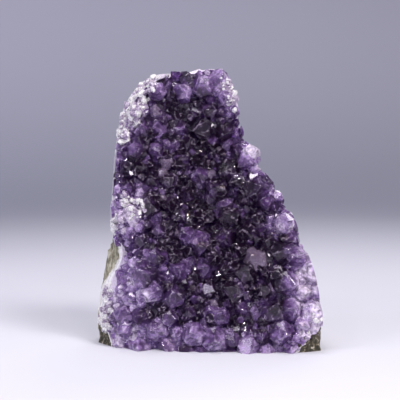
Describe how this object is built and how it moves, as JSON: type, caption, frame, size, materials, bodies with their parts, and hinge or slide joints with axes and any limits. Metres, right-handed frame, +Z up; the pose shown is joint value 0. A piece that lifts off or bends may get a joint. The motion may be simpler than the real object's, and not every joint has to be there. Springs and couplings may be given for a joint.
{
  "type": "amethyst cluster",
  "caption": "Free-standing piece of geode wall: a druse of violet amethyst crystals on a white quartz band and basalt, sawn round the sides and flat at the foot.",
  "frame": {"origin": "on the plane of the sawn foot, under the middle of the stone, within about 1.5 mm of the middle of its width and of its depth", "axes": "+Z up from the foot, the crystal face looks along -Y, +X to the right as seen from the crystal face"},
  "size_m": [0.0888, 0.0518, 0.1109],
  "materials": {
    "basalt": "matt, rough and pitted grey-green rind at the back; smooth where sawn",
    "white_quartz": "milky and banded, polished where sawn",
    "amethyst": "glassy crystal faces, see-through violet, some faces frosted; ground where sawn"
  },
  "bodies": {
    "root": {"host_rock": "basalt", "quartz_band": "white_quartz", "amethyst_crystals": "amethyst"}
  },
  "joints": []
}
